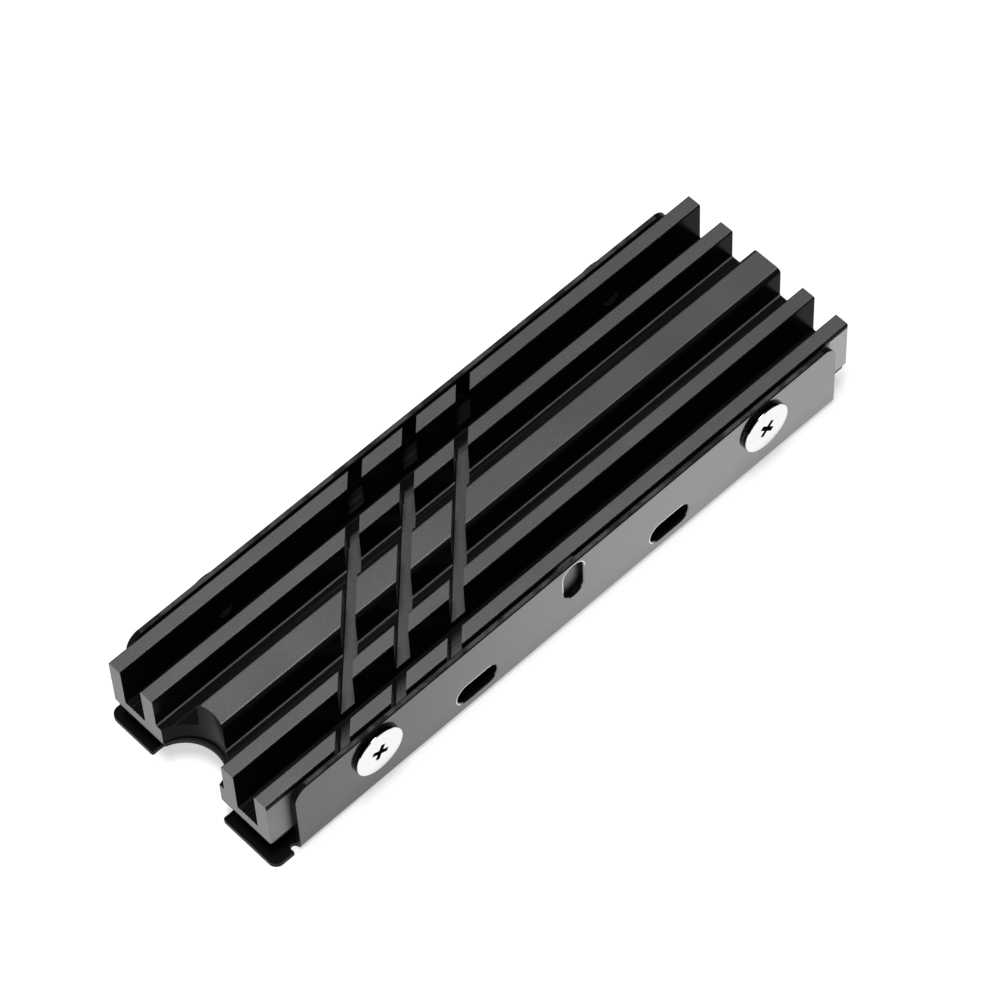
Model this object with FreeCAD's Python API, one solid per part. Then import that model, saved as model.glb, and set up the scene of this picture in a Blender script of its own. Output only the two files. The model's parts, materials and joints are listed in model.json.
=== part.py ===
import FreeCAD, Part
import math
import os

# A heat sink for a flat plug-in storage module. A finned aluminium block lies over the module,
# a folded sheet tray passes under it, and four short screws through the tray's walls hold the
# tray to the block. A thermal pad lies on each side of the space for the module.
# Millimetres. X runs along the module from the notched end, +Y is the left side seen from that
# end, and Z is up. The origin is the middle of the bounding box's bottom face.

# Finned block
block_length = 76.8
block_width = 22.0
block_height = 6.75
outer_fin_width = 1.65
outer_channel_width = 2.85
inner_fin_width = 1.7
bar_width = 3.7
outer_channel_floor = 1.3
inner_channel_floor = 2.55
fin_edge_radius = 0.15
bar_edge_radius = 0.5
fin_foot_radius = 0.18

# Fine ribs along the floors of the outer channels
rib_pitch = 0.42
rib_width = 0.3
rib_height = 0.14
rib_margin = 0.3

# Slanting grooves milled across the fins, placed where their centre lines cross the middle
groove_width = 1.35
groove_angle = 45.0
groove_count = 3
groove_spacing = 7.15
first_groove = 20.57
groove_floor = 2.45

# Half-round notch that leaves the module's own fixing screw free
notch_radius = 4.2
notch_reach = 3.3

# Space for the module and its pads
module_thickness = 2.0
pad_thickness = 0.5
upper_pad_margin = 0.1
upper_pad_notch_step = 0.35
lower_pad_near_gap = 1.0
lower_pad_far_gap = 3.0
lower_pad_side_gap = 0.95
pad_corner_radius = 0.4

# Folded tray
sheet = 0.6
wall_gap = 0.25
wall_drop = 0.1
wall_start = 2.75
wall_end = 2.5
wall_corner_radius = 1.9
inner_bend_radius = 0.25
wall_edge_radius = 0.1
tab_reach = 0.44
tab_side_step = 0.05
tab_corner_radius = 0.95
tab_inner_radius = 0.25
tray_notch_radius = 5.05
tray_notch_reach = 5.35
tray_notch_offset = 0.6
relief_radius = 0.4

# Round-ended slots, evenly spaced between the screws: two low ones in each wall and an upright
# one in the middle of the right wall
slot_length = 5.2
slot_width = 2.6
slot_rim = 0.1
low_slot_height = 0.5
tall_slot_height = 3.6

# Side screws
screw_near_inset = 12.9
screw_far_inset = 12.5
screw_height = 3.0
thread_diameter = 1.94
thread_clearance = 0.03
wall_hole_clearance = 0.23
screw_tip_reach = 0.15
screw_tip_chamfer = 0.25
head_diameter = 5.8
head_thickness = 0.5
head_edge_bevel = 0.14
recess_span = 2.05
recess_width = 0.45
recess_depth = 0.7
recess_taper = 0.6
recess_turn = 45.0

# Cutters reach this far past what they cut
overcut = 1.0

# Places worked out from the sizes above
block_near = (tab_reach - block_length) / 2
block_far = block_near + block_length
block_half = block_width / 2
block_bottom = sheet + pad_thickness + module_thickness + pad_thickness
block_top = block_bottom + block_height
outer_fin_inner_side = block_half - outer_fin_width
inner_fin_outer_side = outer_fin_inner_side - outer_channel_width
inner_fin_inner_side = inner_fin_outer_side - inner_fin_width
bar_half = bar_width / 2
notch_x = block_near + notch_reach - notch_radius
wall_inner = block_half + wall_gap
wall_outer = wall_inner + sheet
wall_top = block_top - wall_drop
wall_near = block_near + wall_start
wall_far = block_far - wall_end
outer_bend_radius = inner_bend_radius + sheet
bend_line = wall_outer - outer_bend_radius
tab_near = block_near - tab_reach
tab_half = wall_outer - tab_side_step
screw_z = block_bottom + screw_height
screw_spots = {"near": block_near + screw_near_inset, "far": block_far - screw_far_inset}
screw_middle = (screw_spots["near"] + screw_spots["far"]) / 2
wall_pitch = (screw_spots["far"] - screw_spots["near"]) / 4
sides = {"left": 1, "right": -1}


def in_yz(x):
    """Turns (y, z) into a point on the plane at x."""
    return lambda y, z: FreeCAD.Vector(x, y, z)


def in_xz(y):
    """Turns (x, z) into a point on the plane at y."""
    return lambda x, z: FreeCAD.Vector(x, y, z)


def in_xy(z):
    """Turns (x, y) into a point on the plane at z."""
    return lambda x, y: FreeCAD.Vector(x, y, z)


def rounded_wire(corners, place):
    """A closed wire through (a, b, radius) corners, each rounded to its own radius."""
    arcs = []
    for index, (a, b, radius) in enumerate(corners):
        corner = place(a, b)
        if radius == 0:
            arcs.append((corner, None, corner))
            continue
        before = (place(*corners[index - 1][:2]) - corner).normalize()
        after = (place(*corners[(index + 1) % len(corners)][:2]) - corner).normalize()
        half_angle = before.getAngle(after) / 2
        reach = radius / math.tan(half_angle)
        bisector = (before + after).normalize()
        middle = corner + bisector * (radius / math.sin(half_angle) - radius)
        arcs.append((corner + before * reach, middle, corner + after * reach))
    edges = []
    for index, (start, middle, end) in enumerate(arcs):
        if middle is not None:
            edges.append(Part.Arc(start, middle, end).toShape())
        next_start = arcs[(index + 1) % len(arcs)][0]
        if end.distanceToPoint(next_start) > 1e-6:
            edges.append(Part.makeLine(end, next_start))
    return Part.Wire(edges)


def prism(corners, place, reach):
    """The solid swept by a rounded outline along the vector reach."""
    return Part.Face(rounded_wire(corners, place)).extrude(reach)


def rectangle(a_low, a_high, b_low, b_high, radius):
    """Four corners with one radius."""
    corners = [(a_low, b_low), (a_high, b_low), (a_high, b_high), (a_low, b_high)]
    return [(a, b, radius) for a, b in corners]


def upright_cylinder(radius, x, y, bottom, top):
    """A cylinder along Z between two heights."""
    return Part.makeCylinder(radius, top - bottom, FreeCAD.Vector(x, y, bottom))


def side_cylinder(radius, x, side, y_from, y_to, z):
    """A cylinder along Y on one side of the part, between two distances from the middle."""
    start = FreeCAD.Vector(x, side * y_from, z)
    return Part.makeCylinder(radius, y_to - y_from, start, FreeCAD.Vector(0, side, 0))


def channel_ribs():
    """The corners of the fine ribs on an outer channel's floor, from the outer fin inwards."""
    room = outer_channel_width - 2 * rib_margin
    count = max(1, int(room / rib_pitch))
    middle = (outer_fin_inner_side + inner_fin_outer_side) / 2
    floor = block_bottom + outer_channel_floor
    corners = []
    for index in range(count):
        y = middle + ((count - 1) / 2 - index) * rib_pitch
        corners.append((y + rib_width / 2, floor, 0))
        corners.append((y, floor + rib_height, 0))
        corners.append((y - rib_width / 2, floor, 0))
    return corners


def block_section():
    """The extrusion's section: two fins a side, the wide middle bar and four channels."""
    top = block_top
    outer_floor = block_bottom + outer_channel_floor
    inner_floor = block_bottom + inner_channel_floor
    left = [
        (block_half, block_bottom, 0),
        (block_half, top, fin_edge_radius),
        (outer_fin_inner_side, top, fin_edge_radius),
        (outer_fin_inner_side, outer_floor, fin_foot_radius),
        *channel_ribs(),
        (inner_fin_outer_side, outer_floor, fin_foot_radius),
        (inner_fin_outer_side, top, fin_edge_radius),
        (inner_fin_inner_side, top, fin_edge_radius),
        (inner_fin_inner_side, inner_floor, fin_foot_radius),
        (bar_half, inner_floor, fin_foot_radius),
        (bar_half, top, bar_edge_radius),
    ]
    right = [(-y, z, radius) for y, z, radius in reversed(left)]
    return left + right


def groove(index):
    """One slanting milled groove, from its floor up past the fins' tops."""
    reach = block_width / math.cos(math.radians(groove_angle)) + groove_width
    low = block_bottom + groove_floor
    cutter = Part.makeBox(
        groove_width,
        2 * reach,
        block_top + overcut - low,
        FreeCAD.Vector(-groove_width / 2, -reach, low),
    )
    cutter.rotate(FreeCAD.Vector(0, 0, 0), FreeCAD.Vector(0, 0, 1), -groove_angle)
    cutter.translate(FreeCAD.Vector(block_near + first_groove + index * groove_spacing, 0, 0))
    return cutter


def notch(radius, x, y, bottom, top):
    """The cutter of a round notch, past both faces."""
    return upright_cylinder(radius, x, y, bottom - overcut, top + overcut)


def finned_block():
    """The extruded block with its slanting grooves, end notch and tapped side holes."""
    body = prism(block_section(), in_yz(block_near), FreeCAD.Vector(block_length, 0, 0))
    cutters = [groove(index) for index in range(groove_count)]
    cutters.append(notch(notch_radius, notch_x, 0, block_bottom, block_top))
    hole_radius = thread_diameter / 2 + thread_clearance
    hole_end = outer_fin_inner_side - outer_channel_width / 2
    for side in sides.values():
        for x in screw_spots.values():
            cutters.append(side_cylinder(hole_radius, x, side, hole_end, wall_outer, screw_z))
    return body.cut(Part.makeCompound(cutters)).removeSplitter()


def tray_section():
    """The folded sheet's section across the part: the floor, two bends and two walls."""
    outer = [
        (-wall_outer, 0, outer_bend_radius),
        (wall_outer, 0, outer_bend_radius),
        (wall_outer, wall_top, wall_edge_radius),
        (wall_inner, wall_top, wall_edge_radius),
    ]
    inner = [
        (wall_inner, sheet, inner_bend_radius),
        (-wall_inner, sheet, inner_bend_radius),
        (-wall_inner, wall_top, wall_edge_radius),
        (-wall_outer, wall_top, wall_edge_radius),
    ]
    return outer + inner


def walls_outline():
    """The walls seen from the side, with their round upper corners."""
    return [
        (wall_near, -overcut, 0),
        (wall_far, -overcut, 0),
        (wall_far, wall_top, wall_corner_radius),
        (wall_near, wall_top, wall_corner_radius),
    ]


def tab_end_edges(plate, outermost):
    """The upright corner edges at the tabs' ends, the outermost pair or the pair at the notch."""
    tolerance = 1e-4
    found = []
    for edge in plate.Edges:
        box = edge.BoundBox
        upright = box.ZLength > sheet / 2 and box.YLength < tolerance
        at_end = abs(box.XMin - tab_near) < tolerance and box.XLength < tolerance
        at_side = max(abs(box.YMin), abs(box.YMax)) > tab_half - tolerance
        if upright and at_end and at_side == outermost:
            found.append(edge)
    return found


def end_tabs():
    """The floor's flat end past the walls, with the round notch that leaves two tabs."""
    flat = rectangle(tab_near, wall_near, -tab_half, tab_half, 0)
    plate = prism(flat, in_xy(0), FreeCAD.Vector(0, 0, sheet))
    plate = plate.cut(tray_notch())
    plate = plate.makeFillet(tab_inner_radius, tab_end_edges(plate, False))
    plate = plate.makeFillet(tab_corner_radius, tab_end_edges(plate, True))
    reliefs = [bend_relief(side) for side in sides.values()]
    return plate.cut(Part.makeCompound(reliefs))


def tray_notch():
    """The cutter of the tray's own round notch, a little to the left of the middle."""
    centre = block_near + tray_notch_reach - tray_notch_radius
    return notch(tray_notch_radius, centre, tray_notch_offset, 0, sheet)


def bend_relief(side):
    """The cutter of the round-ended bite that parts a tab from the start of a wall's bend."""
    x = wall_near - relief_radius
    y = side * (bend_line + relief_radius)
    reach = tab_half + overcut - abs(y)
    low = FreeCAD.Vector(x - relief_radius, min(y, y + side * reach), -overcut)
    straight = Part.makeBox(2 * relief_radius, reach, sheet + 2 * overcut, low)
    return upright_cylinder(relief_radius, x, y, -overcut, sheet + overcut).fuse(straight)


def slot_outline(side, y, x, z, length, height, growth):
    """A round-ended outline on the plane at y, grown evenly all round."""
    a = length / 2 + growth
    b = height / 2 + growth
    return rounded_wire(rectangle(x - a, x + a, z - b, z + b, min(a, b)), in_xz(side * y))


def slot_cutter(side, x, z, length, height):
    """A round-ended slot through one wall, with a small bevel round its outer rim."""
    start = wall_inner - wall_gap / 2
    hole = Part.Face(slot_outline(side, start, x, z, length, height, 0))
    through = hole.extrude(FreeCAD.Vector(0, side * (sheet + overcut), 0))
    inner_rim = slot_outline(side, wall_outer - slot_rim, x, z, length, height, 0)
    outer_rim = slot_outline(side, wall_outer + slot_rim, x, z, length, height, 2 * slot_rim)
    return through.fuse(Part.makeLoft([inner_rim, outer_rim], True, True))


def wall_cutters(side):
    """The slots and the two screw holes through one wall."""
    low = block_bottom - low_slot_height
    tall = block_bottom + tall_slot_height
    cutters = [
        slot_cutter(side, screw_middle - wall_pitch, low, slot_length, slot_width),
        slot_cutter(side, screw_middle + wall_pitch, low, slot_length, slot_width),
    ]
    if side == sides["right"]:
        cutters.append(slot_cutter(side, screw_middle, tall, slot_width, slot_length))
    hole_radius = thread_diameter / 2 + wall_hole_clearance
    start = wall_inner - wall_gap / 2
    for x in screw_spots.values():
        cutters.append(side_cylinder(hole_radius, x, side, start, wall_outer + overcut, screw_z))
    return cutters


def bottom_tray():
    """The folded sheet: floor, two walls, two tabs, slots and screw holes."""
    folded = prism(tray_section(), in_yz(wall_near), FreeCAD.Vector(wall_far - wall_near, 0, 0))
    width = FreeCAD.Vector(0, 2 * (wall_outer + overcut), 0)
    rounded = folded.common(prism(walls_outline(), in_xz(-wall_outer - overcut), width))
    whole = rounded.fuse(end_tabs())
    cutters = [tray_notch()]
    for side in sides.values():
        cutters += wall_cutters(side)
    return whole.cut(Part.makeCompound(cutters)).removeSplitter()


def upper_thermal_pad():
    """The pad stuck to the block's underside, with the block's notch cut out of it."""
    near = block_near + upper_pad_margin
    far = block_far - upper_pad_margin
    half = block_half - upper_pad_margin
    outline = rectangle(near, far, -half, half, pad_corner_radius)
    low = block_bottom - pad_thickness
    pad = prism(outline, in_xy(low), FreeCAD.Vector(0, 0, pad_thickness))
    return pad.cut(notch(notch_radius, notch_x - upper_pad_notch_step, 0, low, block_bottom))


def lower_thermal_pad():
    """The pad that lies on the tray's floor, under the module."""
    near = block_near + tray_notch_reach + lower_pad_near_gap
    far = wall_far - lower_pad_far_gap
    half = bend_line - lower_pad_side_gap
    outline = rectangle(near, far, -half, half, pad_corner_radius)
    return prism(outline, in_xy(sheet), FreeCAD.Vector(0, 0, pad_thickness))


def cross_outline(span, width, z):
    """A cross with four equal arms, turned as the screw was left."""
    a = span / 2
    b = width / 2
    quarter = [(a, -b), (a, b), (b, b)]
    corners = []
    for turn in range(4):
        angle = math.radians(recess_turn + 90 * turn)
        for x, y in quarter:
            turned_x = x * math.cos(angle) - y * math.sin(angle)
            turned_y = x * math.sin(angle) + y * math.cos(angle)
            corners.append((turned_x, turned_y, 0))
    return rounded_wire(corners, in_xy(z))


def side_screw(side, x):
    """A flat-headed screw with a cross recess, its head on the wall and its tip past the fin."""
    radius = thread_diameter / 2
    length = wall_outer - outer_fin_inner_side + screw_tip_reach
    half_section = [
        (0, -length, 0),
        (radius - screw_tip_chamfer, -length, 0),
        (radius, screw_tip_chamfer - length, 0),
        (radius, 0, 0),
        (head_diameter / 2, 0, 0),
        (head_diameter / 2, head_thickness - head_edge_bevel, 0),
        (head_diameter / 2 - head_edge_bevel, head_thickness, 0),
        (0, head_thickness, 0),
    ]
    axis = FreeCAD.Vector(0, 0, 1)
    turned = Part.Face(rounded_wire(half_section, in_xz(0))).revolve(FreeCAD.Vector(0, 0, 0), axis, 360)
    low = head_thickness - recess_depth
    bottom = cross_outline(recess_span * recess_taper, recess_width * recess_taper, low)
    top = cross_outline(recess_span, recess_width, head_thickness)
    screw = turned.cut(Part.makeLoft([bottom, top], True, True))
    screw.rotate(FreeCAD.Vector(0, 0, 0), FreeCAD.Vector(1, 0, 0), -90 * side)
    screw.translate(FreeCAD.Vector(x, side * wall_outer, screw_z))
    return screw


pieces = {
    "finned_block": finned_block(),
    "bottom_tray": bottom_tray(),
    "upper_thermal_pad": upper_thermal_pad(),
    "lower_thermal_pad": lower_thermal_pad(),
}
for side_name, side in sides.items():
    for spot_name, x in screw_spots.items():
        pieces[f"side_screw_{side_name}_{spot_name}"] = side_screw(side, x)

os.makedirs("parts", exist_ok=True)
for name, shape in pieces.items():
    shape.exportStep(f"parts/{name}.step")
    box = shape.BoundBox
    print(f"{name}: {len(shape.Solids)} solid, {shape.Volume:.1f} cubic mm, valid {shape.isValid()}")
    print(f"  x {box.XMin:.2f} to {box.XMax:.2f}, y {box.YMin:.2f} to {box.YMax:.2f}", end="")
    print(f", z {box.ZMin:.2f} to {box.ZMax:.2f}")
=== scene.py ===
# %% [markdown]
# # A heat sink for a storage module
#
# The object is a finned aluminium block, black anodised, in a folded black sheet tray, with four
# bright flat screws through the tray's walls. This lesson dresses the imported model, which already
# has every piece at its real size. Blender works in metres, so a millimetre is written `MM`.

import json
import math

import bpy
from mathutils import Matrix, Vector

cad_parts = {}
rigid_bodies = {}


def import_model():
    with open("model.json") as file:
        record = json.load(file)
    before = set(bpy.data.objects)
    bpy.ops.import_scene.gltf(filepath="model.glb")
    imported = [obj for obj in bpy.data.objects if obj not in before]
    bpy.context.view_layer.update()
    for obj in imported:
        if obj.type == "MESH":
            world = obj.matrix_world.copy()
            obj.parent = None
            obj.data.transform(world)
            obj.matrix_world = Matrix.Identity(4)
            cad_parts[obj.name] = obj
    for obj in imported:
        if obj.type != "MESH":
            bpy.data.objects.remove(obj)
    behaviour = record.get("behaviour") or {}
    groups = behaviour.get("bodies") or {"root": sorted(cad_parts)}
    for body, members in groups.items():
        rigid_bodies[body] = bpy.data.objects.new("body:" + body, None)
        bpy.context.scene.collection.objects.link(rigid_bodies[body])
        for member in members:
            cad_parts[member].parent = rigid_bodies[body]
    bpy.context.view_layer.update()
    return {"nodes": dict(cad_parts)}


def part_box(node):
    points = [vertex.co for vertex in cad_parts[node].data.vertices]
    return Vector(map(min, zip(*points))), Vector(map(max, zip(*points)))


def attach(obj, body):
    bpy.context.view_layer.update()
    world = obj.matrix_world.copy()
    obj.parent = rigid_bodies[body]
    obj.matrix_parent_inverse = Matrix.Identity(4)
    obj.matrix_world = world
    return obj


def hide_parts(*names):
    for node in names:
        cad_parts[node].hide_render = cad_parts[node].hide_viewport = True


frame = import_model()
MM = 0.001
print("pieces in the frame:", ", ".join(sorted(frame["nodes"])))

# %% [markdown]
# ## Places read from the frame
#
# The places that the finishes and new pieces need could all be typed in again, but then they would
# drift from the model. Most are read from the boxes of its pieces instead. What a box doesn't
# tell, such as a groove's depth, is measured from the nearest side of such a box.

# %% Measure the block, the tray and the screws
block_low, block_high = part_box("finned_block")
tray_low, tray_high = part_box("bottom_tray")
screw_names = sorted(name for name in frame["nodes"] if name.startswith("side_screw"))
fin_top = block_high.z
crisp = 0.02 * MM
print(f"block {[round(v / MM, 2) for v in block_high - block_low]} mm, top at {fin_top / MM:.2f} mm")
print(f"tray {[round(v / MM, 2) for v in tray_high - tray_low]} mm")
print("screws:", ", ".join(screw_names))

# %% [markdown]
# ## Node sums as plain sums
#
# A finish or a generated shape is a web of nodes, which is slow to read in code. `Wire` wraps one
# socket so that `1 - mask` or `grain * 0.3` adds the Math node by itself, and `Web.node` adds any
# other node from its type, its settings and its sockets' values. One pair of classes serves both
# the finishes and the Geometry Nodes.

# %% A socket that can be added up
class Wire:
    """One output socket, with the sums that the finishes and shapes use."""

    def __init__(self, web, socket):
        self.web = web
        self.socket = socket

    def math(self, operation, first, second=0.0):
        return self.web.node("ShaderNodeMath", {"operation": operation}, {0: first, 1: second})

    def __add__(self, other):
        return self.math("ADD", self, other)

    def __sub__(self, other):
        return self.math("SUBTRACT", self, other)

    def __rsub__(self, other):
        return self.math("SUBTRACT", other, self)

    def __mul__(self, other):
        return self.math("MULTIPLY", self, other)

    def __truediv__(self, other):
        return self.math("DIVIDE", self, other)

    def __neg__(self):
        return self.math("MULTIPLY", self, -1.0)

    def __gt__(self, other):
        return self.math("GREATER_THAN", self, other)

    def __lt__(self, other):
        return self.math("LESS_THAN", self, other)

    def __or__(self, other):
        return self.math("MAXIMUM", self, other)

    def abs(self):
        return self.math("ABSOLUTE", self)

    def root(self):
        return self.math("SQRT", self)

    def between(self, low, high):
        """1 where the value lies between two others."""
        return (self > low) * (self < high)

    __radd__ = __add__
    __rmul__ = __mul__


print("sums ready")


# %% A tree that nodes are added to
class Web:
    """A node tree, and a short way to add any node to it."""

    def node(self, kind, settings=(), values=(), output=0):
        made = self.tree.nodes.new(kind)
        for key, value in dict(settings).items():
            if key == "items":
                for _ in range(value - len(made.index_switch_items)):
                    made.index_switch_items.new()
            else:
                setattr(made, key, value)
        for key, value in dict(values).items():
            for part in value if isinstance(value, list) else [value]:
                if isinstance(part, Wire):
                    self.tree.links.new(part.socket, made.inputs[key])
                else:
                    made.inputs[key].default_value = part
        return Wire(self, made.outputs[output])

    def axes(self, vector):
        """The x, y and z of a vector by themselves."""
        split = self.node("ShaderNodeSeparateXYZ", values={0: vector})
        return [Wire(self, socket) for socket in split.socket.node.outputs]


print("node trees ready")

# %% [markdown]
# ## What every finish shares
#
# Each finish is one Principled shader whose colour, roughness and bump change over the surface.
# The patterns read object coordinates, which are real metres here, so a grain of 0.1 mm is written
# as such. A finish can also ask which way a face points, because a sawn end, a milled top and a
# drawn side of the same piece don't look alike, and the same masks place painted light and shade.

# %% A finish
class Finish(Web):
    """A material with one Principled shader."""

    def __init__(self, name, constants):
        self.material = bpy.data.materials.new(name)
        self.material.use_nodes = True
        self.tree = self.material.node_tree
        self.shader = self.tree.nodes["Principled BSDF"]
        for socket, value in constants.items():
            self.shader.inputs[socket].default_value = value

    def drive(self, socket, wire):
        self.tree.links.new(wire.socket, self.shader.inputs[socket])

    def place(self):
        """Object coordinates, and their x, y and z."""
        spot = self.node("ShaderNodeTexCoord", output="Object")
        return spot, self.axes(spot)

    def facing(self):
        """How far the surface faces along x, y and z."""
        return self.axes(self.node("ShaderNodeNewGeometry", output="Normal"))

    def noise(self, spot, size, detail=2.0, roughness=0.5):
        """Grey noise whose lumps are about `size` metres across."""
        values = {"Vector": spot, "Scale": 1 / size, "Detail": detail, "Roughness": roughness}
        return self.node("ShaderNodeTexNoise", values=values)

    def rise(self, wire, low, high):
        """Rises from 0 at `low` to 1 at `high`."""
        settings = {"interpolation_type": "SMOOTHSTEP"}
        return self.node("ShaderNodeMapRange", settings, {"Value": wire, "From Min": low, "From Max": high})

    def squarely(self, facing):
        """1 where a face looks straight along an axis, 0 where it is more than a little turned."""
        return self.rise(facing, 0.95, 0.99)

    def tint(self, factor, first, second):
        """A grey between two, by a factor."""
        values = {"Factor": factor, 6: (first, first, first * 1.02, 1), 7: (second, second, second * 1.01, 1)}
        return self.node("ShaderNodeMix", {"data_type": "RGBA"}, values, output=2)

    def bump(self, height, strength, distance):
        values = {"Height": height, "Strength": strength, "Distance": distance}
        self.drive("Normal", self.node("ShaderNodeBump", values=values))


print("finish helper ready")

# %% [markdown]
# ## The block's finish
#
# The block is drawn aluminium, and its tops, ends, outer faces and the three slanting grooves were
# cut or blasted before it was anodised. Those places are a finely speckled grey, while the channels'
# insides and the half-round notch stay nearly black: partly a smoother drawn finish, partly painted
# shade. One material does it all: masks from the place and the way a face points part the two looks.

# %% Where the grooves were cut
groove_width = 1.35 * MM
groove_spacing = 7.15 * MM
first_groove = block_low.x + 20.57 * MM
groove_places = [first_groove + groove_spacing * k for k in range(3)]
groove_floor = fin_top - 4.3 * MM
groove_end = 8 * MM
# A thin line along one side of each groove's floor stays dark: a painted shadow of the fin.
painted_shadow_line = 0.1 * MM
print("grooves cross the middle at", [round(x / MM, 2) for x in groove_places], "mm")


def groove_mask(x, y):
    """1 over the three grooves, which run at 45 degrees, less a thin painted shadow line along one side."""
    slant = math.cos(math.radians(45))
    across = (x - y) * slant
    bands = []
    for place in groove_places:
        offset = across - place * slant
        bands.append(offset.between(painted_shadow_line - groove_width / 2, groove_width / 2 + crisp))
    return sum(bands) * (y < groove_end)


# %% [markdown]
# The outer channels are deeper than the grooves, and their floors are ribbed. The ribs' crowns are
# painted paler than the valleys, as painted light, most near the notched end where the channels open.
# Where a groove's line crosses an outer channel, light falls through the gap in the fin, and a pool
# of that light is painted on the floor there. The inner channels' rounded feet get a painted highlight.

# %% Where the channels are, out from the block's middle line
inner_channels = 6 * MM
outer_channels = 6.4 * MM
rib_top = fin_top - 5.31 * MM
crown_depth = 0.05 * MM
foot_top = groove_floor + 0.35 * MM
mouth = (block_low.x, block_low.x + 6 * MM)
# Where the pools of painted light lie across each outer channel.
painted_light_in_left_channel = (-8.6 * MM, -6.7 * MM)
painted_light_in_right_channel = (6.7 * MM, 9.2 * MM)
# The outer faces' top band under the rounded fin edges stays dark: a painted dark reflection.
painted_dark_band = 0.62 * MM
print(f"ribs {(fin_top - rib_top) / MM:.2f} mm down, grooves {(fin_top - groove_floor) / MM:.2f} mm down")

# %% How pale each place is, as a share of the palest grey
darkest_grey = 0.009
palest_grey = 0.48
cut_share = 0.62
# Outer faces and ends are paler: partly their sawn and blasted finish, partly a painted sheen of the floor.
painted_side_sheen_share = 0.12
# The outer faces beyond the tray's end carry a painted sheen of the bright floor there.
painted_far_sheen_share = 0.74
# The grooves' floors are painted darker than the tops: painted shade in the deep narrow cut.
groove_painted_shade = -0.19
painted_light_share = 0.31
painted_foot_share = 0.42
painted_crown_light_share = 0.6
streak_share = 0.022
print(f"cut faces {cut_share}, ends {cut_share + painted_side_sheen_share:.2f}, grooves {cut_share + groove_painted_shade:.2f}")


# %% Blasted and anodised aluminium
def anodised_finish():
    finish = Finish("anodised_aluminium", {"IOR": 1.5, "Specular IOR Level": 0.02})
    spot, (x, y, z) = finish.place()
    nx, ny, nz = finish.facing()
    out = y.abs()

    up = finish.squarely(nz)
    top = up * (z > fin_top - crisp)
    groove = up * groove_mask(x, y) * z.between(groove_floor - crisp, groove_floor + crisp)
    # Below the painted dark band, a painted dark reflection of the rounded fin edge.
    outside = finish.squarely(ny.abs()) * (out > block_high.y - crisp) * (z < fin_top - painted_dark_band)
    end = finish.squarely(nx.abs()) * ((x < block_low.x + crisp) | (x > block_high.x - crisp))
    # Outer faces beyond the tray's end: a painted reflection of bright floor.
    painted_far_sheen = outside * (x > tray_high.x - crisp)
    side = outside | end
    # Outside these masks stays near the darkest grey: a smoother finish plus painted shade and dark
    # reflection.
    blasted = top | groove | side | finish.squarely(-nz)

    outer_floor = (out > outer_channels) * (z < rib_top + crisp)
    painted_mouth_light = 1 - finish.rise(x, *mouth) * 0.8
    # The ribs' crowns are painted paler than the valleys: painted light, strongest at the notched end.
    painted_lit_crowns = outer_floor * (z > rib_top - crown_depth) * up * painted_mouth_light
    # Pools of painted light where light falls through the grooves' gaps onto the outer channels' floors.
    left_painted_light = finish.rise(-y, *painted_light_in_left_channel) * (y > 0)
    right_painted_light = finish.rise(-y, *painted_light_in_right_channel)
    painted_light_patches = groove_mask(x, y) * outer_floor * (nz > 0.05) * (left_painted_light + right_painted_light)
    # The inner channels' rounded feet get a painted highlight line.
    painted_foot_highlight = nz.between(0.15, 0.97) * (z < foot_top) * (out < inner_channels)

    # Drawing leaves streaks a hundred times as long as they are wide.
    drawn = finish.node("ShaderNodeCombineXYZ", values={0: x * 0.01, 1: y, 2: z})
    streaks = finish.rise(finish.noise(drawn, 0.22 * MM, 2.0), 0.5, 0.62) * up * (1 - blasted)
    grain = finish.noise(spot, 0.12 * MM, 3.0, 0.6)
    cloud = finish.noise(spot, 9 * MM, 2.0)
    speckle = grain * 0.5 + cloud * 0.3 + 0.25

    cut = blasted * cut_share + side * painted_side_sheen_share + painted_far_sheen * painted_far_sheen_share + groove * groove_painted_shade
    # Real drawing streaks, plus painted light on the rib crowns and the channels' feet.
    painted_light_and_streaks = painted_lit_crowns * grain * painted_crown_light_share + painted_foot_highlight * painted_foot_share + streaks * streak_share
    pale = cut * speckle + painted_light_and_streaks * (1 - painted_light_patches) + painted_light_patches * painted_light_share
    finish.drive("Base Color", finish.tint(pale, darkest_grey, palest_grey))
    finish.drive("Metallic", blasted * 0.75)
    finish.drive("Roughness", blasted * 0.22 + grain * 0.08 + 0.2)
    finish.bump(blasted * grain, 0.3, 0.01 * MM)
    return finish.material


anodised = anodised_finish()
print("finish:", anodised.name, "with", len(anodised.node_tree.nodes), "nodes")

# %% [markdown]
# ## The tray's finish
#
# The tray is thin sheet with a smooth baked black coat. Its walls are polished enough to mirror
# what stands beside them, and its tabs and cut edges are duller. A clear coat over the walls gives
# that mirror, and a very shallow, wide ripple makes the reflections wander like real sheet. The
# coat weight rises towards the plain end, a painted sheen, and the punched rims of the slots carry
# a painted highlight: a line of bare metal on their side towards the notched end and the top only.

# %% Where the slots are
screw_spots = [sum(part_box(name), Vector()) / 2 for name in screw_names]
screw_middle = sum(spot.x for spot in screw_spots) / len(screw_spots)
slot_pitch = 12.85 * MM
slot_radius = 1.4 * MM
slot_reach = 1.3 * MM
low_slot = block_low.z - 0.5 * MM
tall_slot = block_low.z + 3.6 * MM
right_wall_only = 0.0
both_walls = 2 * tray_high.y
slots = [
    (screw_middle - slot_pitch, low_slot, slot_reach, 0.0, both_walls),
    (screw_middle + slot_pitch, low_slot, slot_reach, 0.0, both_walls),
    (screw_middle, tall_slot, 0.0, slot_reach, right_wall_only),
]
print("slots at", [round(slot[0] / MM, 2) for slot in slots], "mm")

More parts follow.
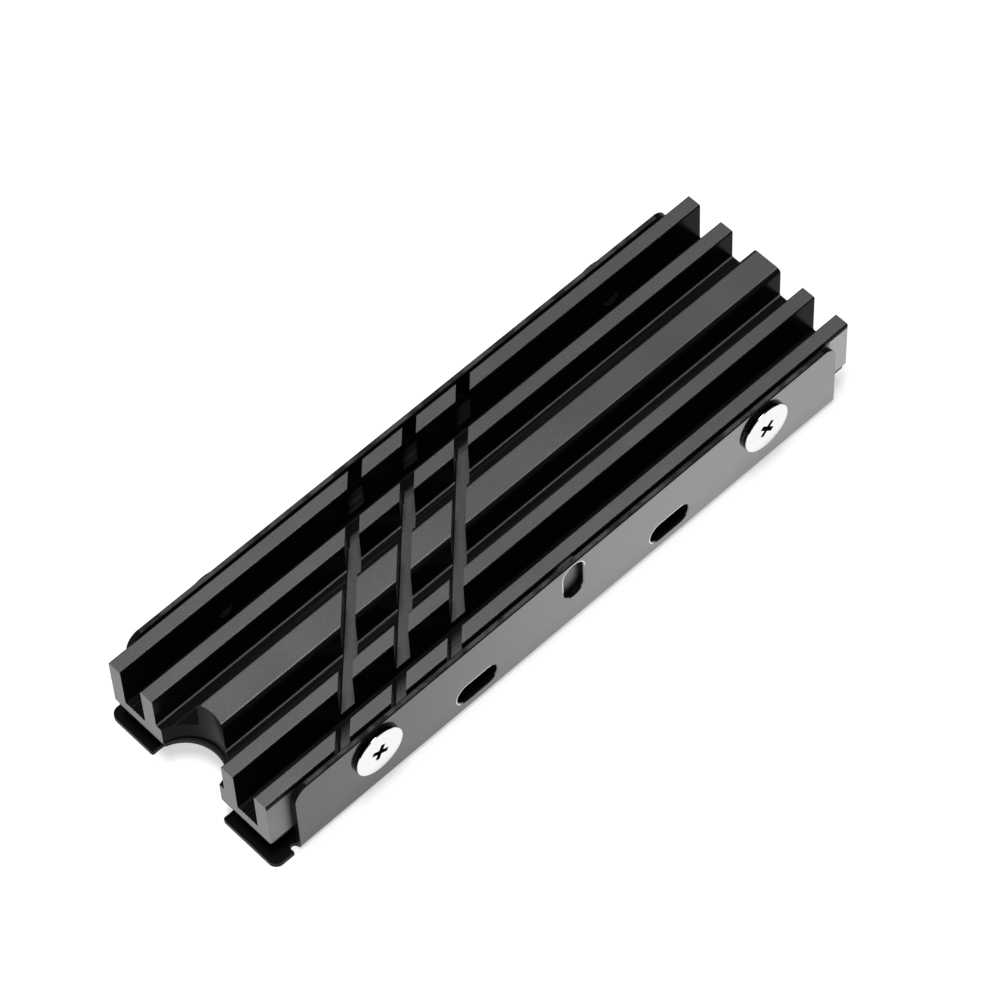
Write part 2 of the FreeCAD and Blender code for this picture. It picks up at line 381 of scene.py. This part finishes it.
# %% Where the slots' rims get a painted highlight
rim_line = (slot_radius - 0.01 * MM, slot_radius + 0.11 * MM)
rim_slant = 0.6
rim_start = 0.3 * MM
print(f"bare line {(rim_line[1] - rim_line[0]) / MM:.2f} mm wide")


def painted_rim_glints(x, y, z):
    """1 on a thin line of bare metal round each slot, only on the side towards the notched end and the wall's
    top: a painted highlight.
    """
    lines = []
    for place_x, place_z, reach_x, reach_z, furthest_y in slots:
        across = x - place_x
        above = z - place_z
        beyond_x = (across.abs() - reach_x) | 0.0
        beyond_z = (above.abs() - reach_z) | 0.0
        distance = (beyond_x * beyond_x + beyond_z * beyond_z).root()
        lit_side = above - across * rim_slant > rim_start
        lines.append(distance.between(*rim_line) * lit_side * (y < furthest_y))
    return sum(lines)


# %% Where the walls are polished
wall_skin = 0.9 * MM
wall_start = block_low.x + 2.8 * MM
face_top = tray_high.z - 0.14 * MM
rims_start = block_low.x + 3.6 * MM
rims_top = tray_high.z - 1.2 * MM
# The coat weight's rise along the walls is a painted sheen: brighter reflections towards the plain end.
painted_sheen_span = (-42 * MM, 18 * MM)
least_painted_sheen = 0.47
print(f"walls polished from x {wall_start / MM:.2f} mm, up to z {face_top / MM:.2f} mm")


# %% Baked black coat
def coated_finish():
    constants = {"IOR": 1.45, "Specular IOR Level": 0.06, "Coat IOR": 2.45, "Coat Roughness": 0.04}
    finish = Finish("black_coated_sheet", constants)
    spot, (x, y, z) = finish.place()
    _, ny, nz = finish.facing()
    out = y.abs()

    face = finish.squarely(ny.abs()) * (z < face_top)
    slot_rims = finish.rise(ny.abs(), 0.3, 0.5) * (z < rims_top) * (x > rims_start)
    wall = (out > tray_high.y - wall_skin) * (x > wall_start) * (face | slot_rims)
    # The walls' top lip is painted paler with a patchy mottle: painted light on the sheet's top.
    painted_lit_lip = finish.squarely(nz) * (z > tray_high.z - crisp)
    # A line of bare metal on the slots' lit side only: a painted highlight.
    painted_rim_glint = painted_rim_glints(x, y, z) * face * (out > tray_high.y - crisp)
    # Painted sheen: coat weight rising along the walls.
    painted_sheen_ramp = finish.rise(x, *painted_sheen_span) * (1 - least_painted_sheen) + least_painted_sheen

    peel = finish.noise(spot, 1.1 * MM, 2.0)
    wave = finish.noise(spot, 14 * MM, 1.0)
    fine = finish.noise(spot, 0.09 * MM, 2.0)
    lip_mottle = finish.rise(finish.noise(spot, 2.5 * MM, 3.0, 0.6), 0.38, 0.62)
    # Fine random tone, plus painted light on the lip and painted highlights on the slots' rims.
    tone_and_painted_light = fine * 0.006 + painted_lit_lip * (lip_mottle * 0.08 + 0.02) + painted_rim_glint * 0.7
    finish.drive("Base Color", finish.tint(tone_and_painted_light, 0.005, 0.95))
    finish.drive("Metallic", painted_rim_glint)
    finish.drive("Roughness", peel * 0.08 + fine * 0.06 + 0.3)
    finish.drive("Coat Weight", wall * painted_sheen_ramp)
    finish.bump(peel * 0.3 + wave, 0.12, 0.02 * MM)
    return finish.material


coated = coated_finish()
print("finish:", coated.name, "with", len(coated.node_tree.nodes), "nodes")


# %% [markdown]
# ## The pads' finish
#
# The two pads are soft silicone loaded with mineral powder: matt, dark, with a fine even grain.

# %% Filled silicone
def silicone_finish():
    finish = Finish("dark_silicone_pad", {"Metallic": 0.0, "IOR": 1.42})
    spot, _ = finish.place()
    powder = finish.noise(spot, 0.15 * MM, 4.0, 0.7)
    finish.drive("Base Color", finish.tint(powder, 0.010, 0.03))
    finish.drive("Roughness", powder * 0.2 + 0.7)
    finish.bump(powder, 0.4, 0.02 * MM)
    return finish.material


silicone = silicone_finish()
print("finish:", silicone.name)


# %% [markdown]
# ## The screws' finish
#
# The screws are nickel plated steel, almost a mirror, with faint smears. The head's rim and the
# cross recess see little light, and they are painted nearly black there as painted shade.
# The screws' mesh carries a value named `recess`, which is 1 on the recess's own faces, and the
# finish reads it. The rim is where a face of the head looks along the wall.

# %% Bright nickel
def nickel_finish():
    finish = Finish("nickel_screw", {"Metallic": 1.0})
    spot, (_, y, _) = finish.place()
    _, ny, _ = finish.facing()
    recess = finish.node("ShaderNodeAttribute", {"attribute_name": "recess"}, output="Fac")
    rim = (1 - finish.rise(ny.abs(), 0.1, 0.35)) * (y.abs() > tray_high.y + crisp)
    smear = finish.noise(spot, 0.6 * MM, 3.0)
    fine = finish.noise(spot, 0.05 * MM, 2.0)
    # The rim and the cross recess are painted nearly black: painted shade.
    finish.drive("Base Color", finish.tint(recess | rim, 0.82, 0.012))
    finish.drive("Roughness", recess * 0.4 + smear * 0.08 + 0.1)
    finish.bump(fine, 0.08, 0.006 * MM)
    return finish.material


nickel = nickel_finish()
print("finish:", nickel.name)

# %% Put the finishes on the frame's pieces
finish_of = {
    "finned_block": anodised,
    "bottom_tray": coated,
    "upper_thermal_pad": silicone,
    "lower_thermal_pad": silicone,
}
for name, node in frame["nodes"].items():
    node.data.materials.clear()
    node.data.materials.append(finish_of.get(name, nickel))
print("dressed", len(frame["nodes"]), "pieces")


# %% [markdown]
# ## The screws' shape
#
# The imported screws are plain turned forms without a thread. A screw could be modelled by hand and
# copied, but a Geometry Nodes tree says what a screw is: a line of stations, each with a height
# and a radius, swept with a circle, a diamond section wound along a spiral for the thread, and two
# crossed wedges cut out of the head. One tree makes all four, each turned as it was screwed in.

# %% A tree of Geometry Nodes with named inputs
class Recipe(Web):
    """A Geometry Nodes tree. `inputs` gives its named lengths and their usual values."""

    def __init__(self, name, inputs):
        self.tree = bpy.data.node_groups.new(name, "GeometryNodeTree")
        sockets = self.tree.interface
        sockets.new_socket("Geometry", in_out="INPUT", socket_type="NodeSocketGeometry")
        sockets.new_socket("Geometry", in_out="OUTPUT", socket_type="NodeSocketGeometry")
        self.identifiers = {}
        for title, value in inputs.items():
            socket = sockets.new_socket(title, in_out="INPUT", socket_type="NodeSocketFloat")
            socket.default_value = value
            self.identifiers[title] = socket.identifier
        entry = self.tree.nodes.new("NodeGroupInput")
        self.given = {title: Wire(self, entry.outputs[title]) for title in inputs}
        self.geometry = Wire(self, entry.outputs["Geometry"])

    def finish(self, wire):
        exit_node = self.tree.nodes.new("NodeGroupOutput")
        self.tree.links.new(wire.socket, exit_node.inputs["Geometry"])

    def pick(self, index, values):
        """The value that stands at an index in a list."""
        settings = {"data_type": "FLOAT", "items": len(values)}
        sockets = {0: index}
        sockets.update({k + 1: value for k, value in enumerate(values)})
        return self.node("GeometryNodeIndexSwitch", settings, sockets)

    def point(self, x, y, z):
        return self.node("ShaderNodeCombineXYZ", values={0: x, 1: y, 2: z})

    def move(self, geometry, offset):
        return self.node("GeometryNodeTransform", values={"Geometry": geometry, "Translation": offset})

    def put(self, geometry, position):
        return self.node("GeometryNodeSetPosition", values={"Geometry": geometry, "Position": position})

    def ring(self, sides, radius):
        return self.node("GeometryNodeCurvePrimitiveCircle", values={"Resolution": sides, "Radius": radius})

    def named(self, title, data_type):
        """A value that the points carry under a name."""
        return self.node("GeometryNodeInputNamedAttribute", {"data_type": data_type}, {"Name": title})

    def join_solids(self, solids):
        settings = {"operation": "UNION", "solver": "EXACT"}
        return self.node("GeometryNodeMeshBoolean", settings, {"Mesh 2": solids})

    def cut(self, solid, cutter):
        settings = {"operation": "DIFFERENCE", "solver": "EXACT"}
        return self.node("GeometryNodeMeshBoolean", settings, {"Mesh 1": solid, "Mesh 2": cutter})


print("recipe helper ready")

# %% The sizes of a screw
screw_low, screw_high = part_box(screw_names[0])
head_thickness = 0.5 * MM
screw_sizes = {
    "head diameter": screw_high.x - screw_low.x,
    "head thickness": head_thickness,
    "head edge": 0.12 * MM,
    "screw length": screw_high.y - screw_low.y - head_thickness,
    "thread diameter": 1.94 * MM,
    "thread depth": 0.17 * MM,
    "thread pitch": 0.4 * MM,
    "recess span": 2.05 * MM,
    "recess width": 0.55 * MM,
    "recess depth": 0.7 * MM,
    "recess taper": 0.6,
}
recipe = Recipe("side screws", screw_sizes)
print(f"head {screw_sizes['head diameter'] / MM:.2f} mm, shank {screw_sizes['screw length'] / MM:.2f} mm")


# %% The turned body: stations along the axis, outwards along +Z from the underside of the head
def turned_body(given):
    rim = given["head diameter"] / 2
    edge = given["head edge"]
    core = given["thread diameter"] / 2 - given["thread depth"]
    tip = -given["screw length"]
    face = given["head thickness"]
    tip_taper = 0.2
    bevel = edge * 0.3
    corner = edge * (1 - math.cos(math.radians(45)))
    stations = [
        (tip, core * (1 - tip_taper)),
        (tip + core * tip_taper, core),
        (face * -0.001, core),
        (0.0, rim - bevel),
        (bevel, rim),
        (face - edge * 1.2, rim),
        (face - edge, rim),
        (face - corner, rim - corner),
        (face, rim - edge),
    ]
    index = recipe.node("GeometryNodeInputIndex")
    height = recipe.pick(index, [station[0] for station in stations])
    radius = recipe.pick(index, [station[1] for station in stations])
    line = recipe.node("GeometryNodeMeshLine", {"mode": "OFFSET"}, {"Count": len(stations)})
    placed = recipe.put(line, recipe.point(0, 0, height))
    axis = recipe.node("GeometryNodeMeshToCurve", values={"Mesh": placed})
    values = {"Curve": axis, "Profile Curve": recipe.ring(96, 1.0), "Scale": radius, "Fill Caps": True}
    return recipe.node("GeometryNodeCurveToMesh", values=values)


body = turned_body(recipe.given)
print("turned body:", len(recipe.tree.nodes), "nodes so far")


# %% The thread: a diamond section wound along a spiral
def thread_ridge(given):
    root = given["thread diameter"] / 2 - given["thread depth"]
    wound_share = 0.85
    start_share = 0.95
    length = given["screw length"] * wound_share
    values = {
        "Resolution": 28,
        "Rotations": length / given["thread pitch"],
        "Start Radius": root,
        "End Radius": root,
        "Height": length,
    }
    spiral = recipe.node("GeometryNodeCurveSpiral", values=values)
    upright = recipe.node("GeometryNodeSetCurveNormal", {"mode": "Z_UP"}, {"Curve": spiral})
    section = recipe.ring(4, given["thread depth"])
    values = {"Curve": upright, "Profile Curve": section, "Fill Caps": True}
    ridge = recipe.node("GeometryNodeCurveToMesh", values=values)
    return recipe.move(ridge, recipe.point(0, 0, given["screw length"] * -start_share))


thread = thread_ridge(recipe.given)
print("thread:", len(recipe.tree.nodes), "nodes so far")


# %% The cross recess: two crossed wedges, narrower at their foot
def recess_wedges(given):
    face = given["head thickness"]
    depth = given["recess depth"]
    tall = depth + face
    arms = []
    for span, width in (("recess span", "recess width"), ("recess width", "recess span")):
        size = recipe.point(given[span], given[width], tall)
        block = recipe.node("GeometryNodeMeshCube", values={"Size": size})
        raised = recipe.move(block, recipe.point(0, 0, face + tall / 2 - depth))
        x, y, z = recipe.axes(recipe.node("GeometryNodeInputPosition"))
        narrow = 1 - (face - z) / depth * (1 - given["recess taper"])
        arms.append(recipe.put(raised, recipe.point(x * narrow, y * narrow, z)))
    cross = recipe.join_solids(arms)
    settings = {"data_type": "FLOAT", "domain": "FACE"}
    values = {"Geometry": cross, "Name": "recess", "Value": 1.0}
    return recipe.node("GeometryNodeStoreNamedAttribute", settings, values)


recess = recess_wedges(recipe.given)
print("recess:", len(recipe.tree.nodes), "nodes so far")


# %% One whole screw, put on every point and turned
def screws_on_points():
    screw = recipe.cut(recipe.join_solids([body, thread]), recess)
    outward = recipe.named("outward", "FLOAT_VECTOR")
    turn = recipe.named("turn", "FLOAT")
    aimed = recipe.node("FunctionNodeAlignRotationToVector", {"axis": "Z"}, {"Vector": outward})
    spin = recipe.node("FunctionNodeAxisAngleToRotation", values={"Axis": (0, 0, 1), "Angle": turn})
    rotation = recipe.node("FunctionNodeRotateRotation", {"rotation_space": "LOCAL"}, {0: aimed, 1: spin})
    values = {"Points": recipe.geometry, "Instance": screw, "Rotation": rotation}
    placed = recipe.node("GeometryNodeInstanceOnPoints", values=values)
    real = recipe.node("GeometryNodeRealizeInstances", values={"Geometry": placed})
    return recipe.node("GeometryNodeSetMaterial", values={"Geometry": real, "Material": nickel})


recipe.finish(screws_on_points())
print("whole recipe:", len(recipe.tree.nodes), "nodes")

# %% The four points, each with the way its screw faces and how far it was turned
turns = {
    "side_screw_right_far": 45,
    "side_screw_right_near": 64,
    "side_screw_left_far": 12,
    "side_screw_left_near": 80,
}
head_seats = []
outwards = []
for name in screw_names:
    low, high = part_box(name)
    side = 1 if low.y > 0 else -1
    head_seats.append(((low.x + high.x) / 2, side * tray_high.y, (low.z + high.z) / 2))
    outwards.extend((0, side, 0))
angles = [math.radians(turns[name]) for name in screw_names]
spots = bpy.data.meshes.new("screw_spots")
spots.from_pydata(head_seats, [], [])
spots.attributes.new("outward", "FLOAT_VECTOR", "POINT").data.foreach_set("vector", outwards)
spots.attributes.new("turn", "FLOAT", "POINT").data.foreach_set("value", angles)
print("head seats:", [[round(v / MM, 2) for v in seat] for seat in head_seats])


# %% Bake the recipe to a plain mesh
def bake(name, mesh, recipe, sizes):
    """Runs a recipe on a mesh and keeps the result as a plain mesh."""
    piece = bpy.data.objects.new(name, mesh)
    bpy.context.collection.objects.link(piece)
    modifier = piece.modifiers.new(name, "NODES")
    modifier.node_group = recipe.tree
    for title, value in sizes.items():
        modifier[recipe.identifiers[title]] = value
    graph = bpy.context.evaluated_depsgraph_get()
    baked = bpy.data.meshes.new_from_object(piece.evaluated_get(graph))
    piece.modifiers.clear()
    piece.data = baked
    return piece


screws = bake("side_screws", spots, recipe, screw_sizes)
screws.data.polygons.foreach_set("use_smooth", [True] * len(screws.data.polygons))
screws.data.set_sharp_from_angle(angle=math.radians(30))
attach(screws, "root")
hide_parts(*screw_names)
print("side_screws:", len(screws.data.polygons), "faces")

# %% [markdown]
# ## Floor and light
#
# The part stands on a plain white floor. The floor is a pale diffuse surface, and only what the
# camera and mirror-like surfaces see of it is lifted to white, so it keeps the part's soft shadow
# and throws no more light on the part than a real white table would.

# %% White floor
floor_side = 6
floor_lift = 0.6


def white_floor():
    bpy.ops.mesh.primitive_plane_add(size=floor_side)
    floor = bpy.context.object
    floor.name = "floor"
    constants = {"Base Color": (0.8, 0.8, 0.8, 1), "Roughness": 0.9, "Specular IOR Level": 0.0}
    finish = Finish("white_floor", constants)
    path = finish.tree.nodes.new("ShaderNodeLightPath")
    seen = Wire(finish, path.outputs["Is Camera Ray"])
    mirrored = Wire(finish, path.outputs["Is Glossy Ray"])
    through = Wire(finish, path.outputs["Is Transmission Ray"])
    lift = (seen + mirrored + through) * floor_lift
    lit = finish.node("ShaderNodeEmission", values={"Color": (1, 1, 1, 1), "Strength": lift})
    both = finish.node("ShaderNodeAddShader", values={0: Wire(finish, finish.shader.outputs[0]), 1: lit})
    finish.tree.links.new(both.socket, finish.tree.nodes["Material Output"].inputs["Surface"])
    floor.data.materials.append(finish.material)


white_floor()
print(f"floor {floor_side} m square")

# %% [markdown]
# ## Lamps
#
# The picture's light comes from a long narrow softbox overhead, in line with the slanting grooves,
# so it reaches their floors and leaves the channels dark. A second, faint one stands low beyond
# the notched end, on the left. Each lamp's long side runs along the grooves' line.

# %% Softboxes
grooves_way = Vector((1, 1, 0))
lamps = {
    "overhead": {"place": (-0.07, -0.04, 1.0), "size": (0.48, 0.26), "watts": 6.3},
    "left_edge": {"place": (-0.45, 0.26, 0.30), "size": (0.3, 0.2), "watts": 0.28},
}


def softbox(name, place, size, watts):
    """A rectangular lamp that looks at the origin."""
    lamp = bpy.data.lights.new(name, "AREA")
    lamp.shape = "RECTANGLE"
    lamp.size, lamp.size_y = size
    lamp.energy = watts
    holder = bpy.data.objects.new(name, lamp)
    bpy.context.collection.objects.link(holder)
    back = Vector(place).normalized()
    across = -grooves_way.cross(back).normalized()
    along = across.cross(back)
    holder.rotation_euler = Matrix((along, across, back)).transposed().to_euler()
    holder.location = place


for name, lamp in lamps.items():
    softbox(name, **lamp)
print("lamps:", ", ".join(lamps))

# %% A dim room
world = bpy.data.worlds.new("room")
world.use_nodes = True
sky = world.node_tree.nodes["Background"].inputs
sky["Color"].default_value = (1, 1, 1, 1)
sky["Strength"].default_value = 0.04
bpy.context.scene.world = world
print(f"room strength {sky['Strength'].default_value:.2f}")

# %% [markdown]
# ## Camera
#
# The camera stands where the photograph's did. Its place, aim and lens come from a fit of the
# known block sizes to the picture: a long lens, from above the notched end's right-hand corner.

# %% The photograph's view
camera_data = bpy.data.cameras.new("camera")
camera_data.sensor_width = 36.0
camera_data.lens = 170.977
camera = bpy.data.objects.new("camera", camera_data)
bpy.context.collection.objects.link(camera)
camera_place = Vector((-161.11, -188.017, 391.23)) * MM
camera_aim = Vector((3.27, 1.483, 3.6)) * MM
camera_roll = math.radians(3.311)
camera.location = camera_place
aim = (camera_aim - camera_place).to_track_quat("-Z", "Y").to_matrix()
camera.rotation_euler = (aim @ Matrix.Rotation(-camera_roll, 3, "Z")).to_euler()
bpy.context.scene.camera = camera
bpy.context.scene.view_settings.view_transform = "Standard"
print(f"camera {(camera_aim - camera_place).length:.3f} m from its aim")
